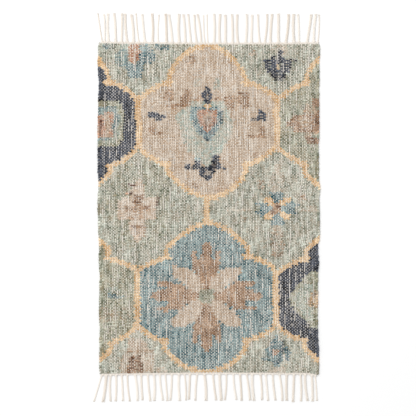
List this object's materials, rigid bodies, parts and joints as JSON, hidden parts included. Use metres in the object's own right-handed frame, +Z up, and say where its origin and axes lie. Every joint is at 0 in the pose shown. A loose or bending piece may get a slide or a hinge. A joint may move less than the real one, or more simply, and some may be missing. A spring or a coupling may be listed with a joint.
{
  "type": "woven jute rug with fringed ends",
  "caption": "Flat woven rug of dyed jute with a trellis of ogee medallions, and a cream cotton fringe at both ends.",
  "frame": {"origin": "middle of the whole rug's footprint, fringes included, on the floor that it lies on", "axes": "+X across the rug to its right side, +Y along it to its far end, +Z up from the floor"},
  "size_m": [0.6246, 1.0688, 0.0064],
  "materials": {
    "jute_weave": "matt hand-woven jute",
    "cotton_fringe": "matt twisted cotton"
  },
  "bodies": {
    "root": {"field": "jute_weave", "fringe_far": "cotton_fringe", "fringe_near": "cotton_fringe"}
  },
  "joints": []
}
